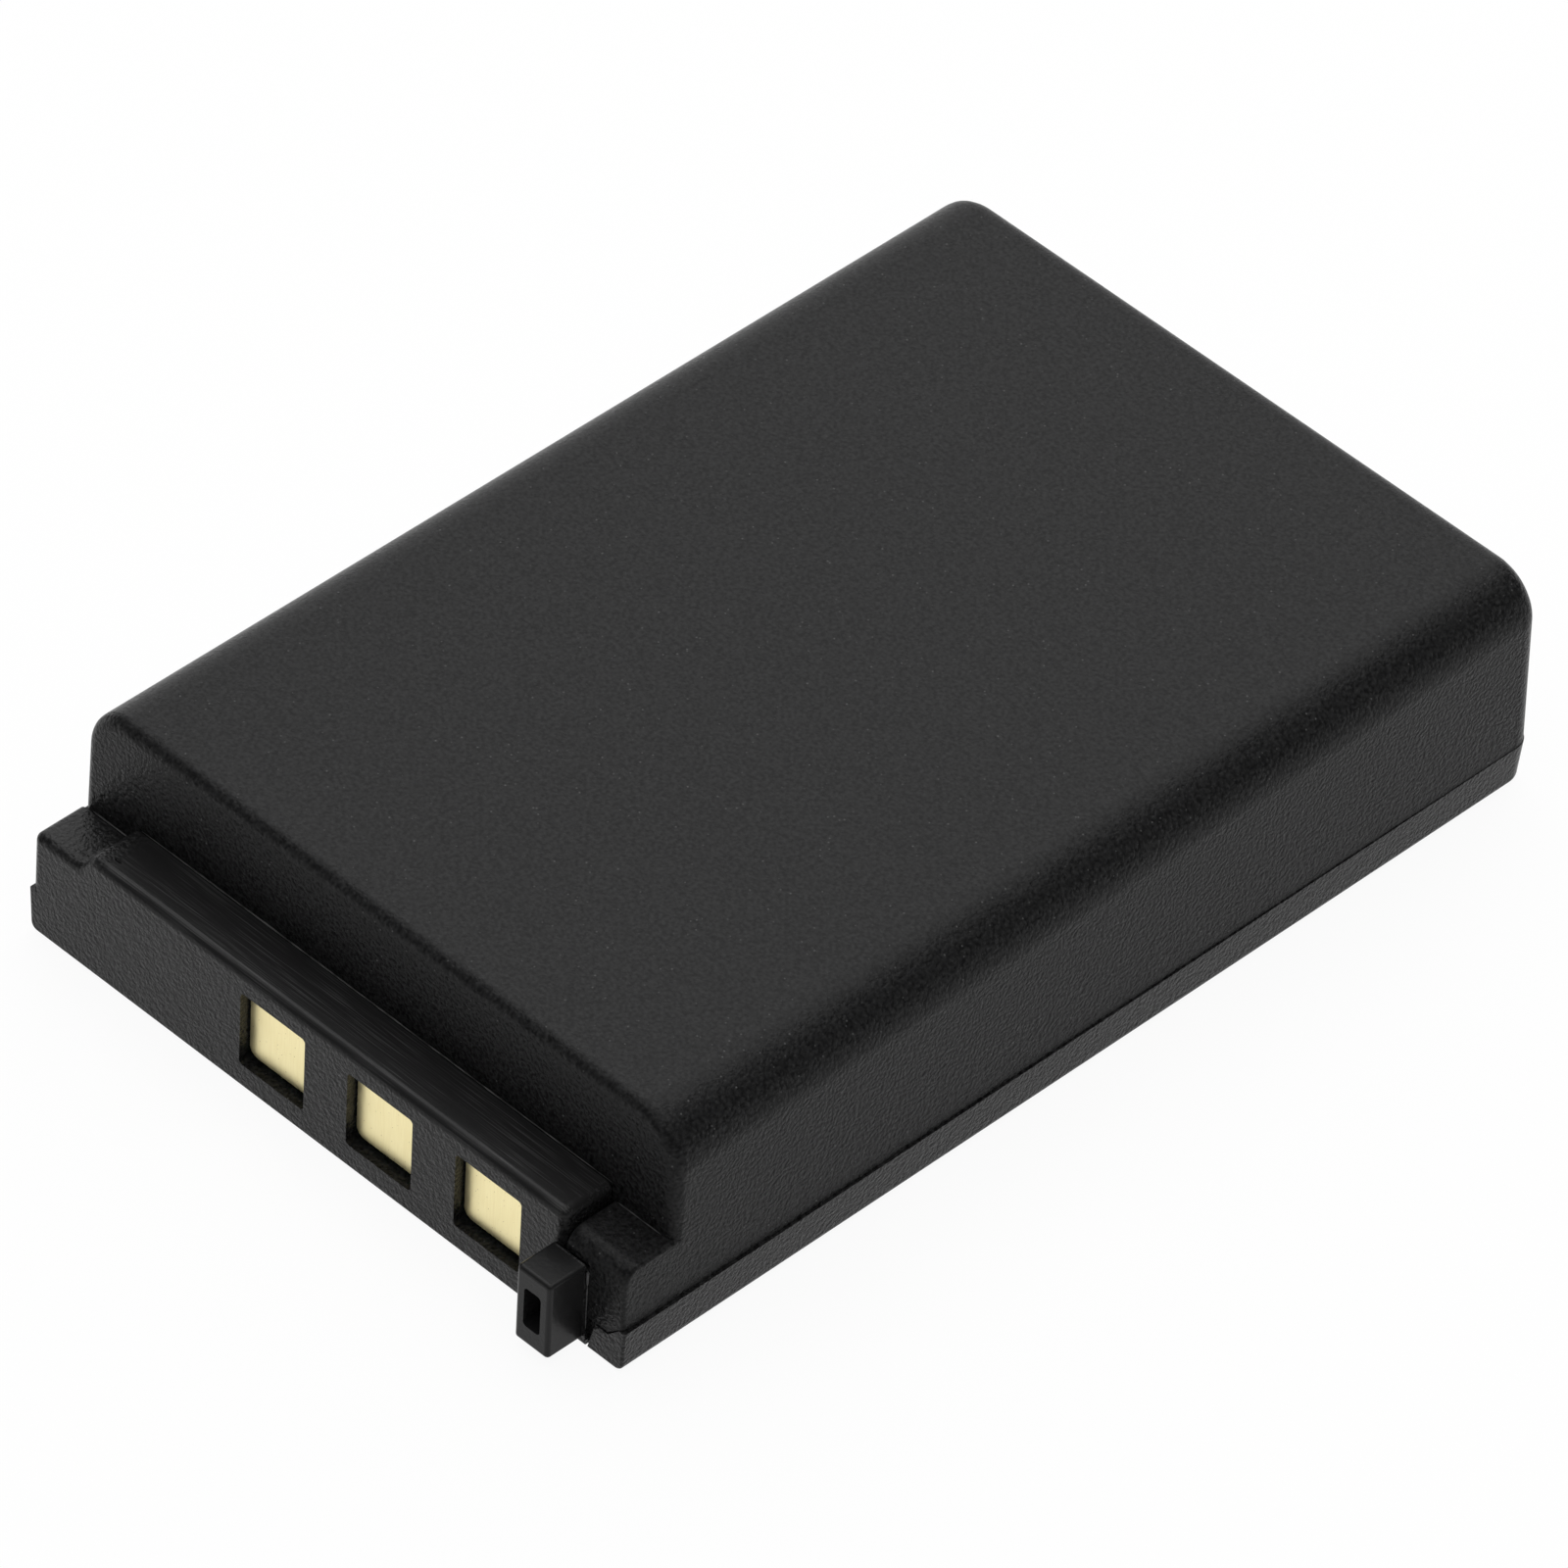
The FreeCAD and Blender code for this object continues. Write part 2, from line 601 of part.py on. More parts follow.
def make_cell():
    """Drawn aluminium can, sealed, lying with its lid towards the contacts."""
    body = new_body("cell_can")
    face = sketch_on(body, "lid", "XZ", "cell_setback")
    rectangle(face, "-" + CELL_SIDE, CELL_SIDE, CELL_LOW, CELL_HIGH)
    pad(body, "drawn", face, f"{INNER_REAR} - cell_rear_gap - cell_setback", to_rear=True)
    fillet(body, "sides", "cell_corner_radius", lambda edge: runs_along(edge, "y"))
    fillet(body, "base", "cell_base_radius",
           lambda edge: edge.BoundBox.YMin > value_of(f"{INNER_REAR} - cell_rear_gap") - 0.001)
    return body


def make_cell_fittings():
    """Terminal on its gasket, the card over the lid, and the fuse, all stacked on the cell's lid."""
    gasket = make_plate(
        "cell_gasket", "-gasket_width / 2", "gasket_width / 2",
        f"{CELL_MIDDLE} - gasket_height / 2", f"{CELL_MIDDLE} + gasket_height / 2",
        "cell_setback - gasket_thickness", "gasket_thickness")
    terminal = make_plate(
        "cell_terminal", "-terminal_width / 2", "terminal_width / 2",
        f"{CELL_MIDDLE} - terminal_height / 2", f"{CELL_MIDDLE} + terminal_height / 2",
        TERMINAL_FACE, "terminal_thickness")
    card = make_plate(
        "end_insulator", f"card_spacing - {RIBBON_START}", f"{CELL_SIDE} - cell_corner_radius",
        f"{CELL_LOW} + card_margin", f"{CELL_HIGH} - card_margin", CARD_FACE, "card_thickness")
    hole = sketch_on(card, "hole", "XZ", CARD_FACE)
    half_wide = "(gasket_width / 2 + joint_gap)"
    half_high = "(gasket_height / 2 + joint_gap)"
    rectangle(hole, "-" + half_wide, half_wide, f"{CELL_MIDDLE} - {half_high}", f"{CELL_MIDDLE} + {half_high}")
    pocket(card, "gasket_hole", hole, "card_thickness")
    fuse_left = "(gasket_width / 2 + fuse_spacing)"
    fuse = make_plate(
        "thermal_fuse", fuse_left, RIBBON_BEND, RIBBON_FOOT, f"{CELL_MIDDLE} + terminal_height / 2",
        TERMINAL_FACE, f"{CARD_FACE} - {TERMINAL_FACE}")
    strip = make_plate(
        "tab_negative", "-terminal_width / 2", f"{fuse_left} + ribbon_overlap",
        f"{CELL_MIDDLE} - terminal_height / 2", f"{CELL_MIDDLE} + terminal_height / 2",
        f"{TERMINAL_FACE} - ribbon_thickness", "ribbon_thickness")
    return [gasket, terminal, card, fuse, strip]


def make_ribbon(label, side, seat):
    """A nickel ribbon bent in a Z, from a seat over the cell's lid to a weld pad on the board."""
    body = new_body(label)
    plan = sketch_on(body, "plan", "XY", RIBBON_FOOT)
    toe = f"({PAD_OUTER} - pad_margin)"
    corners = [
        (RIBBON_START, seat),
        (RIBBON_START, f"{seat} - ribbon_thickness"),
        (f"{RIBBON_BEND} - ribbon_thickness", f"{seat} - ribbon_thickness"),
        (f"{RIBBON_BEND} - ribbon_thickness", PAD_BACK),
        (toe, PAD_BACK),
        (toe, f"{PAD_BACK} + ribbon_thickness"),
        (RIBBON_BEND, f"{PAD_BACK} + ribbon_thickness"),
        (RIBBON_BEND, seat),
    ]
    outline(plan, [(f"{side} * ({across})", along) for across, along in corners])
    pad(body, "bent", plan, "ribbon_width")
    return body


def make_board():
    """Protection board with its weld pads, seated on the inside of the contact wall."""
    low = "floor_wall + board_gap"
    high = f"{STRIP_TOP} - side_wall - board_gap"
    board = make_plate("protection_board", "-" + BOARD_SIDE, BOARD_SIDE, low, high, "side_wall",
                       "board_thickness")
    middle = f"({RIBBON_FOOT} + ribbon_width / 2)"
    pads = []
    for name, left, right in (("plus", "-" + PAD_OUTER, "-" + PAD_INNER), ("minus", PAD_INNER, PAD_OUTER)):
        pads.append(make_plate("weld_pad_" + name, left, right, f"{middle} - pad_height / 2",
                               f"{middle} + pad_height / 2", BOARD_BACK, "pad_thickness"))
    return [board] + pads


def make_chip(label, place, width, height, thickness):
    """A part soldered to the back of the board."""
    return make_plate(label, f"{place} - {width} / 2", f"{place} + {width} / 2",
                      f"{BOARD_MIDDLE} - {height} / 2", f"{BOARD_MIDDLE} + {height} / 2",
                      BOARD_BACK, thickness)


def make_leaded_chip(label, kind, leads):
    """A moulded part with a row of leads above and below."""
    place, width, height = kind + "_place", kind + "_width", kind + "_height"
    body = make_chip(label, place, width, height, kind + "_thickness")
    lead = sketch_on(body, "lead", "XZ", BOARD_BACK)
    first = f"({place} - {leads - 1} * {kind}_pitch / 2)"
    reach = f"({height} / 2 + lead_length)"
    rectangle(lead, f"{first} - lead_width / 2", f"{first} + lead_width / 2",
              f"{BOARD_MIDDLE} - {reach}", f"{BOARD_MIDDLE} + {reach}")
    one = pad(body, "lead_bar", lead, "lead_thickness", to_rear=True)
    row = body.newObject("PartDesign::LinearPattern", label + "_leads")
    row.Originals = [one]
    row.Direction = (lead, ["H_Axis"])
    row.setExpression("Length", bound(f"{leads - 1} * {kind}_pitch"))
    row.Occurrences = leads
    body.Tip = row
    settle(row)
    return body


def make_board_parts():
    """Protection chip, switching transistors and the small chips beside them."""
    parts = [
        make_leaded_chip("protection_ic", "ic", 3),
        make_leaded_chip("mosfet_pair", "mosfet", 4),
    ]
    for label, kind in (("thermistor", "thermistor"), ("sense_resistor", "resistor"),
                        ("bypass_capacitor", "capacitor")):
        parts.append(make_chip(label, kind + "_place", "chip_width", "chip_height", "chip_thickness"))
    return parts


def make_tape(label, low):
    """Double-sided tape between the cell and the case."""
    body = new_body(label)
    plan = sketch_on(body, "plan", "XY", low)
    rectangle(plan, "-tape_width / 2", "tape_width / 2",
              "cell_setback + tape_inset", f"{INNER_REAR} - cell_rear_gap - tape_inset")
    pad(body, "tape", plan, "tape_thickness")
    return body


bodies = [make_upper_case(), make_lower_cover()]
bodies += make_contacts()
bodies += make_board()
bodies += make_board_parts()
bodies.append(make_cell())
bodies += make_cell_fittings()
bodies.append(make_ribbon("tab_positive", -1, "cell_setback"))
bodies.append(make_ribbon("fuse_lead", 1, TERMINAL_FACE))
bodies.append(make_tape("tape_lower", "floor_wall"))
bodies.append(make_tape("tape_upper", CELL_HIGH))

for body in bodies:
    body.setExpression("Placement.Base.y", bound("(lug_reach - case_length) / 2"))
doc.recompute()

for item in doc.Objects:
    if "Invalid" in item.State or "Error" in item.State:
        raise RuntimeError(item.Label + " failed to build")
for body in bodies:
    if body.Shape.isNull() or not body.Shape.isValid() or len(body.Shape.Solids) != 1:
        raise RuntimeError(body.Label + " is not one sound solid")

os.makedirs("parts", exist_ok=True)
for body in bodies:
    body.Shape.exportStep(os.path.join("parts", body.Label + ".step"))
    box = body.Shape.BoundBox
    print(f"{body.Label:18s} {body.Shape.Volume:9.2f} mm3  {box.XLength:.2f} x {box.YLength:.2f} x {box.ZLength:.2f}")
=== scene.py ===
import math

import bmesh
import bpy
from mathutils import Matrix, Vector


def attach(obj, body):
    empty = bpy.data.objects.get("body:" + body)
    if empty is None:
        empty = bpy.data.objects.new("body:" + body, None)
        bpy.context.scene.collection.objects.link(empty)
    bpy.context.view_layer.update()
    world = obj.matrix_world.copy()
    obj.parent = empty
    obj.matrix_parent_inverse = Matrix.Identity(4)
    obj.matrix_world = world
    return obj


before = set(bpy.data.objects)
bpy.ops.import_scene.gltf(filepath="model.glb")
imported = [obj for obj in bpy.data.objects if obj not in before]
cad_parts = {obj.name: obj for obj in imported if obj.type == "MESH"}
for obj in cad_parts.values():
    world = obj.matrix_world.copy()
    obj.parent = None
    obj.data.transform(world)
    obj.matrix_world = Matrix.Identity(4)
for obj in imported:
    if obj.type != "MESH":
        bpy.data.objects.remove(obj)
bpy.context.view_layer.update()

# The cell is a flat lithium-ion cell in a deep-drawn aluminium can, with a lid welded on at the
# contact end. Drawing leaves faint lines down the can, and the metal is otherwise bare and dull.
MM_PER_METRE = 1000.0
CELL_METAL = (0.75, 0.76, 0.77, 1.0)
CELL_ROUGHNESS = 0.40
CELL_ROUGHNESS_SPAN = (0.30, 0.46)
DRAWING_LINES = (9.0, 0.35, 9.0)
DRAWING_DETAIL = 3.0
DRAWING_SPAN = (0.3, 0.7)
DRAWING_DEPTH = 0.002


def add(tree, kind, inputs=None, out=0, **settings):
    """One shader node, with its settings and what goes into it; gives back one of its outputs."""
    node = tree.nodes.new("ShaderNode" + kind)
    for setting, value in settings.items():
        setattr(node, setting, value)
    for socket, value in (inputs or {}).items():
        if isinstance(value, bpy.types.NodeSocket):
            tree.links.new(value, node.inputs[socket])
        else:
            node.inputs[socket].default_value = value
    return node.outputs[out]


def finish_named(name, colour, roughness, metallic=0.0, specular=0.5):
    """A new material with its shader, and the place on the part in millimetres."""
    material = bpy.data.materials.new(name)
    material.use_nodes = True
    tree = material.node_tree
    shader = tree.nodes["Principled BSDF"]
    shader.inputs["Base Color"].default_value = colour
    shader.inputs["Roughness"].default_value = roughness
    shader.inputs["Metallic"].default_value = metallic
    shader.inputs["Specular IOR Level"].default_value = specular
    metres = add(tree, "TexCoord", out="Object")
    place = add(tree, "VectorMath", {0: metres, "Scale": MM_PER_METRE}, operation="SCALE")
    return material, tree, shader, place


def stretched(tree, place, scale):
    """The place with each axis scaled, so that a pattern runs along the axis scaled least."""
    return add(tree, "VectorMath", {0: place, 1: scale}, operation="MULTIPLY")


def noise(tree, place, scale=1.0, detail=2.0):
    """Soft random lumps, as many to a millimetre as the scale says."""
    return add(tree, "TexNoise", {"Vector": place, "Scale": scale, "Detail": detail}, out="Fac")


def ranged(tree, value, low, high, to_low=0.0, to_high=1.0, curve="LINEAR"):
    """The value taken from one range to another and held at its ends."""
    inputs = {"Value": value, "From Min": low, "From Max": high, "To Min": to_low, "To Max": to_high}
    return add(tree, "MapRange", inputs, interpolation_type=curve)


def relief(tree, shader, height, depth):
    """Relief in the surface, depth in millimetres for a height of one."""
    inputs = {"Strength": 1.0, "Distance": depth / MM_PER_METRE, "Height": height}
    tree.links.new(add(tree, "Bump", inputs), shader.inputs["Normal"])


def dress(material, *nodes):
    """Puts a finish on the pieces that carry it."""
    for node in nodes:
        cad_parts[node].material_slots[0].material = material


aluminium, tree, shader, place = finish_named(
    "drawn_aluminium", CELL_METAL, CELL_ROUGHNESS, metallic=1.0)
lines = noise(tree, stretched(tree, place, DRAWING_LINES), detail=DRAWING_DETAIL)
dulled = ranged(tree, lines, *DRAWING_SPAN, *CELL_ROUGHNESS_SPAN)
tree.links.new(dulled, shader.inputs["Roughness"])
relief(tree, shader, lines, DRAWING_DEPTH)
dress(aluminium, "cell_can")

# The gasket round the cell's terminal and the card on its lid keep the nickel ribbons off the can.
# Both are cut from pressed fibre card, so loose fibres show as a faint mottle.
CARD_PALE = (0.78, 0.75, 0.65, 1.0)
CARD_DARK = (0.66, 0.62, 0.52, 1.0)
CARD_ROUGHNESS = 0.85
FIBRES = (3.0, 9.0, 9.0)
FIBRE_DETAIL = 4.0
FIBRE_SPAN = (0.35, 0.65)
FIBRE_DEPTH = 0.01


def colour_mix(tree, factor, low, high):
    """A colour between two, by a factor."""
    return add(tree, "Mix", {0: factor, 6: low, 7: high}, out=2, data_type="RGBA")


card, tree, shader, place = finish_named("fibre_card", CARD_PALE, CARD_ROUGHNESS)
fibres = noise(tree, stretched(tree, place, FIBRES), detail=FIBRE_DETAIL)
mottled = colour_mix(tree, ranged(tree, fibres, *FIBRE_SPAN), CARD_DARK, CARD_PALE)
tree.links.new(mottled, shader.inputs["Base Color"])
relief(tree, shader, fibres, FIBRE_DEPTH)
dress(card, "cell_gasket", "end_insulator")

# The terminal, the ribbons welded to it and the pads on the board are rolled nickel strip.
# Rolling leaves fine lines along the strip and a soft shine.
NICKEL = (0.62, 0.60, 0.56, 1.0)
NICKEL_ROUGHNESS = 0.30
NICKEL_ROUGHNESS_SPAN = (0.22, 0.38)
ROLLING_LINES = (0.6, 14.0, 14.0)
ROLLING_DETAIL = 3.0
ROLLING_SPAN = (0.3, 0.7)
ROLLING_DEPTH = 0.0015

nickel, tree, shader, place = finish_named("rolled_nickel", NICKEL, NICKEL_ROUGHNESS, metallic=1.0)
rolling = noise(tree, stretched(tree, place, ROLLING_LINES), detail=ROLLING_DETAIL)
rolled = ranged(tree, rolling, *ROLLING_SPAN, *NICKEL_ROUGHNESS_SPAN)
tree.links.new(rolled, shader.inputs["Roughness"])
relief(tree, shader, rolling, ROLLING_DEPTH)
dress(nickel, "cell_terminal", "tab_negative", "tab_positive", "fuse_lead")
dress(nickel, "weld_pad_plus", "weld_pad_minus")

# The protection board is green glass-fibre laminate, and its weave shows faintly through the
# solder mask. It stands behind the contact wall with the contacts on its front.
MASK_GREEN = (0.030, 0.160, 0.070, 1.0)
MASK_DARK = (0.018, 0.105, 0.045, 1.0)
MASK_ROUGHNESS = 0.35
WEAVE_PITCH = 0.5
WEAVE_TURN = 0.31
WEAVE_DEPTH = 0.003


def reckoned(tree, operation, *numbers):
    """A number worked out from others, such as their product or the largest of them."""
    return add(tree, "Math", dict(enumerate(numbers)), operation=operation)


def threads(tree, place, across):
    """The threads of one set, side by side along an axis."""
    inputs = {"Vector": place, "Scale": WEAVE_TURN / WEAVE_PITCH}
    return add(tree, "TexWave", inputs, out="Fac", bands_direction=across)


laminate, tree, shader, place = finish_named("masked_laminate", MASK_GREEN, MASK_ROUGHNESS)
weave = reckoned(tree, "MULTIPLY", threads(tree, place, "X"), threads(tree, place, "Z"))
tree.links.new(colour_mix(tree, weave, MASK_DARK, MASK_GREEN), shader.inputs["Base Color"])
relief(tree, shader, weave, WEAVE_DEPTH)
dress(laminate, "protection_board")

# The chips and the thermal fuse are moulded in black filled resin, dull and slightly gritty.
# The chips are soldered to the back of the board, and the fuse lies in the ribbon on the cell's lid.
RESIN_BLACK = (0.020, 0.020, 0.022, 1.0)
RESIN_GREY = (0.034, 0.034, 0.036, 1.0)
RESIN_ROUGHNESS = 0.6
GRIT_PER_MM = 18.0
GRIT_SPAN = (0.4, 0.7)
GRIT_DEPTH = 0.006

resin, tree, shader, place = finish_named("chip_resin", RESIN_BLACK, RESIN_ROUGHNESS)
grit = noise(tree, place, GRIT_PER_MM)
gritty = colour_mix(tree, ranged(tree, grit, *GRIT_SPAN), RESIN_BLACK, RESIN_GREY)
tree.links.new(gritty, shader.inputs["Base Color"])
relief(tree, shader, grit, GRIT_DEPTH)
dress(resin, "protection_ic", "mosfet_pair", "thermal_fuse")

# The thermistor, the sense resistor and the capacitor are small fired ceramic blocks, tan and
# mottled, soldered beside the chips.
CERAMIC_TAN = (0.38, 0.27, 0.17, 1.0)
CERAMIC_DARK = (0.24, 0.17, 0.11, 1.0)
CERAMIC_ROUGHNESS = 0.5
MOTTLE_PER_MM = 8.0
MOTTLE_DETAIL = 4.0
MOTTLE_SPAN = (0.35, 0.65)
MOTTLE_DEPTH = 0.004

ceramic, tree, shader, place = finish_named("fired_ceramic", CERAMIC_TAN, CERAMIC_ROUGHNESS)
mottle = noise(tree, place, MOTTLE_PER_MM, MOTTLE_DETAIL)
fired = colour_mix(tree, ranged(tree, mottle, *MOTTLE_SPAN), CERAMIC_DARK, CERAMIC_TAN)
tree.links.new(fired, shader.inputs["Base Color"])
relief(tree, shader, mottle, MOTTLE_DEPTH)
dress(ceramic, "thermistor", "sense_resistor", "bypass_capacitor")

# Double-sided tissue tape holds the cell to both halves of the case. It is white, and its long
# fibres show as a faint streak in the paper.
TAPE_WHITE = (0.82, 0.82, 0.80, 1.0)
TAPE_GREY = (0.70, 0.70, 0.68, 1.0)
TAPE_ROUGHNESS = 0.9
TISSUE_FIBRES = (2.0, 6.0, 6.0)
TISSUE_DETAIL = 5.0
TISSUE_SPAN = (0.4, 0.6)
TISSUE_DEPTH = 0.01

tissue, tree, shader, place = finish_named("tissue_tape", TAPE_WHITE, TAPE_ROUGHNESS)
tissue_fibres = noise(tree, stretched(tree, place, TISSUE_FIBRES), detail=TISSUE_DETAIL)
streaked = colour_mix(tree, ranged(tree, tissue_fibres, *TISSUE_SPAN), TAPE_GREY, TAPE_WHITE)
tree.links.new(streaked, shader.inputs["Base Color"])
relief(tree, shader, tissue_fibres, TISSUE_DEPTH)
dress(tissue, "tape_lower", "tape_upper")

# The three contacts are brass plates with pale gold plating, soldered to the board and seen through
# the windows. The plating keeps the brushing of the plate, up and down, and a few fine pits.
GOLD_PALE = (0.98, 0.87, 0.50, 1.0)
GOLD_DEEP = (0.93, 0.81, 0.45, 1.0)
GOLD_PIT = (0.45, 0.34, 0.14, 1.0)
GOLD_ROUGHNESS = 0.40
GOLD_ROUGHNESS_SPAN = (0.28, 0.38)
BRUSHING = (16.0, 16.0, 0.9)
BRUSHING_DETAIL = 3.0
BRUSHING_SPAN = (0.25, 0.6)
BRUSHING_DEPTH = 0.002
CLOUDS_PER_MM = 1.3
CLOUD_SPAN = (0.3, 0.7)
PITS_PER_MM = 4.0
PIT_EDGE = (0.05, 0.11)

gold, tree, shader, place = finish_named("pale_gold_plating", GOLD_PALE, GOLD_ROUGHNESS, metallic=1.0)
brushing = noise(tree, stretched(tree, place, BRUSHING), detail=BRUSHING_DETAIL)
tone = colour_mix(tree, ranged(tree, brushing, *BRUSHING_SPAN), GOLD_DEEP, GOLD_PALE)
pit_cells = add(tree, "TexVoronoi", {"Vector": place, "Scale": PITS_PER_MM}, out="Distance")
pits = ranged(tree, pit_cells, *PIT_EDGE, 1.0, 0.0)
tree.links.new(colour_mix(tree, pits, tone, GOLD_PIT), shader.inputs["Base Color"])
clouded = ranged(tree, noise(tree, place, CLOUDS_PER_MM), *CLOUD_SPAN, *GOLD_ROUGHNESS_SPAN)
tree.links.new(clouded, shader.inputs["Roughness"])
relief(tree, shader, brushing, BRUSHING_DEPTH)
dress(gold, "contact_plus", "contact_temp", "contact_minus")

# The lower cover is one black moulding: the tray with its proud rim, the contact housing with its
# raised strip, and the slotted key lug. Its walls have the mould's spark-eroded grain, and the strip
# and the lug come off polished steel, with fine scratches along the strip from sliding into bays.
PLASTIC_HOLLOW_SHADE = (0.006, 0.006, 0.0062, 1.0)
PLASTIC_GREY = (0.021, 0.021, 0.0213, 1.0)
PLASTIC_SPECK = (0.120, 0.120, 0.120, 1.0)
PLASTIC_ROUGHNESS = 0.27
COVER_SPECULAR = 0.15
GRAIN_DEPTH = 0.060
LUMPS_PER_MM = 5.6
LUMP_DETAIL = 3.0
PEBBLES_PER_MM = 6.5
PEBBLE_HEIGHT = -0.4
CREST_SPAN = (0.15, 0.55)
SPECKS_PER_MM = 2.6
SPECK_REACH = 0.14
SPECK_PATCHES_PER_MM = 1.3
SPECK_PATCH_DETAIL = 1.0
SPECK_PATCH_SPAN = (0.38, 0.60)
POLISHED_BLACK = (0.013, 0.013, 0.0132, 1.0)
POLISHED_GRAIN_DEPTH = 0.006
STRIP_SHOULDER = (5.83, 6.07)
STRIP_RAMP = (-13.5, -12.9)
LUG_ROOT = (-25.56, -25.49)
RUBBING = (0.3, 1.5, 1.5)
RUBBING_SPAN = (0.35, 0.6)
SCRATCH_GREY = (0.044, 0.044, 0.044, 1.0)
SCRATCHES = (0.25, 20.0, 20.0)
SCRATCH_SPAN = (0.50, 0.68)
SCRATCH_DEPTH = 0.003
NICK_PAINTED_SHADE = (0.002, 0.002, 0.002, 1.0)
NICK_PLACE = (-13.03, -24.69, 6.22)
NICK_REACH = (0.22, 0.10, 0.30)
NICK_EDGE = (0.6, 1.0)
NICK_DEPTH = 0.12


def axis_of(tree, vector, axis):
    """How far a place or a direction goes along one axis."""
    return add(tree, "SeparateXYZ", {0: vector}, out=axis)


def spark_grain(tree, place):
    """The pebbles that a spark-eroded mould leaves, a tenth to a fifth of a millimetre across."""
    lumps = noise(tree, place, LUMPS_PER_MM, LUMP_DETAIL)
    inputs = {"Vector": place, "Scale": PEBBLES_PER_MM, "Smoothness": 1.0}
    pebbles = add(tree, "TexVoronoi", inputs, out="Distance", feature="SMOOTH_F1")
    return reckoned(tree, "MULTIPLY_ADD", pebbles, PEBBLE_HEIGHT, lumps)


def specks(tree, place):
    """Sparse bright points where single grains of the mould catch the light."""
    cells = add(tree, "TexVoronoi", {"Vector": place, "Scale": SPECKS_PER_MM}, out="Distance")
    patches = noise(tree, place, SPECK_PATCHES_PER_MM, SPECK_PATCH_DETAIL)
    reach = ranged(tree, patches, *SPECK_PATCH_SPAN, 0.0, SPECK_REACH)
    return ranged(tree, cells, reach, 0.0)


def plastic_colour_with_painted_shade(tree, place, grain):
    """Painted shade in the hollows of the grain and a painted highlight on its crests, with the specks
    over both.
    """
    tone = colour_mix(tree, ranged(tree, grain, *CREST_SPAN), PLASTIC_HOLLOW_SHADE, PLASTIC_GREY)
    return colour_mix(tree, specks(tree, place), tone, PLASTIC_SPECK)


cover_black, tree, shader, place = finish_named(
    "cover_plastic", PLASTIC_GREY, PLASTIC_ROUGHNESS, specular=COVER_SPECULAR)

# The mould is polished for the strip, above its shoulder and past its ramp, and for the lug.
above_shoulder = ranged(tree, axis_of(tree, place, "Z"), *STRIP_SHOULDER)
past_ramp = ranged(tree, axis_of(tree, place, "X"), *STRIP_RAMP)
on_strip = reckoned(tree, "MULTIPLY", above_shoulder, past_ramp)
on_lug = ranged(tree, axis_of(tree, place, "Y"), *LUG_ROOT, 1.0, 0.0)
polished = reckoned(tree, "MAXIMUM", on_strip, on_lug)

# The nick is a small hollow at the strip's left end, deepest in its middle, with painted shade
# darkening it to near black in its middle.
from_nick = add(tree, "VectorMath", {0: place, 1: NICK_PLACE}, operation="SUBTRACT")
from_nick = add(tree, "VectorMath", {0: from_nick, 1: NICK_REACH}, operation="DIVIDE")
from_nick = add(tree, "VectorMath", {0: from_nick}, out="Value", operation="LENGTH")
off_nick = ranged(tree, from_nick, *NICK_EDGE)

grain = spark_grain(tree, place)
grain_depth = ranged(tree, polished, 0.0, 1.0, GRAIN_DEPTH, POLISHED_GRAIN_DEPTH)
scratches = noise(tree, stretched(tree, place, SCRATCHES))
scratch_depth = ranged(tree, on_strip, 0.0, 1.0, 0.0, SCRATCH_DEPTH)
height = reckoned(tree, "MULTIPLY", grain, grain_depth)
height = reckoned(tree, "MULTIPLY_ADD", scratches, scratch_depth, height)
height = reckoned(tree, "MULTIPLY_ADD", off_nick, NICK_DEPTH, height)
relief(tree, shader, height, 1.0)

rubbed = ranged(tree, noise(tree, stretched(tree, place, RUBBING)), *RUBBING_SPAN)
scratched = reckoned(tree, "MULTIPLY", ranged(tree, scratches, *SCRATCH_SPAN), on_strip)
scratched = reckoned(tree, "MULTIPLY", scratched, rubbed)
smooth_colour = colour_mix(tree, scratched, POLISHED_BLACK, SCRATCH_GREY)
# Painted shade darkens the nick towards its middle.
smooth_colour = colour_mix(tree, off_nick, NICK_PAINTED_SHADE, smooth_colour)
# The grained part of the cover carries painted shade in the grain's hollows and a painted highlight on
# its crests.
cover_colour = colour_mix(tree, polished, plastic_colour_with_painted_shade(tree, place, grain), smooth_colour)
tree.links.new(cover_colour, shader.inputs["Base Color"])
dress(cover_black, "lower_cover")

# The upper case is the other black moulding, dropped over the cell and lapped into the cover's rim.
# Its top has a finer, flatter grain than its walls, which are eroded deeper to hide the draw marks.
CASE_SPECULAR = 0.09
TOP_FACING = (0.80, 0.97)
TOP_GRAIN_DEPTH = 0.026
TOP_GRAIN_FINER = (2.0, 2.0, 2.0)

case_black, tree, shader, place = finish_named(
    "case_plastic", PLASTIC_GREY, PLASTIC_ROUGHNESS, specular=CASE_SPECULAR)
facing = axis_of(tree, add(tree, "NewGeometry", out="Normal"), "Z")
on_top = ranged(tree, facing, *TOP_FACING, curve="SMOOTHSTEP")
grain = spark_grain(tree, place)
wall_height = reckoned(tree, "MULTIPLY", grain, GRAIN_DEPTH)
top_grain = spark_grain(tree, stretched(tree, place, TOP_GRAIN_FINER))
top_height = reckoned(tree, "MULTIPLY", top_grain, TOP_GRAIN_DEPTH)
relief(tree, shader, add(tree, "Mix", {0: on_top, 2: wall_height, 3: top_height}), 1.0)
# The case's colour carries painted shade in the grain's hollows and a painted highlight on its crests.
tree.links.new(plastic_colour_with_painted_shade(tree, place, grain), shader.inputs["Base Color"])
dress(case_black, "upper_case")
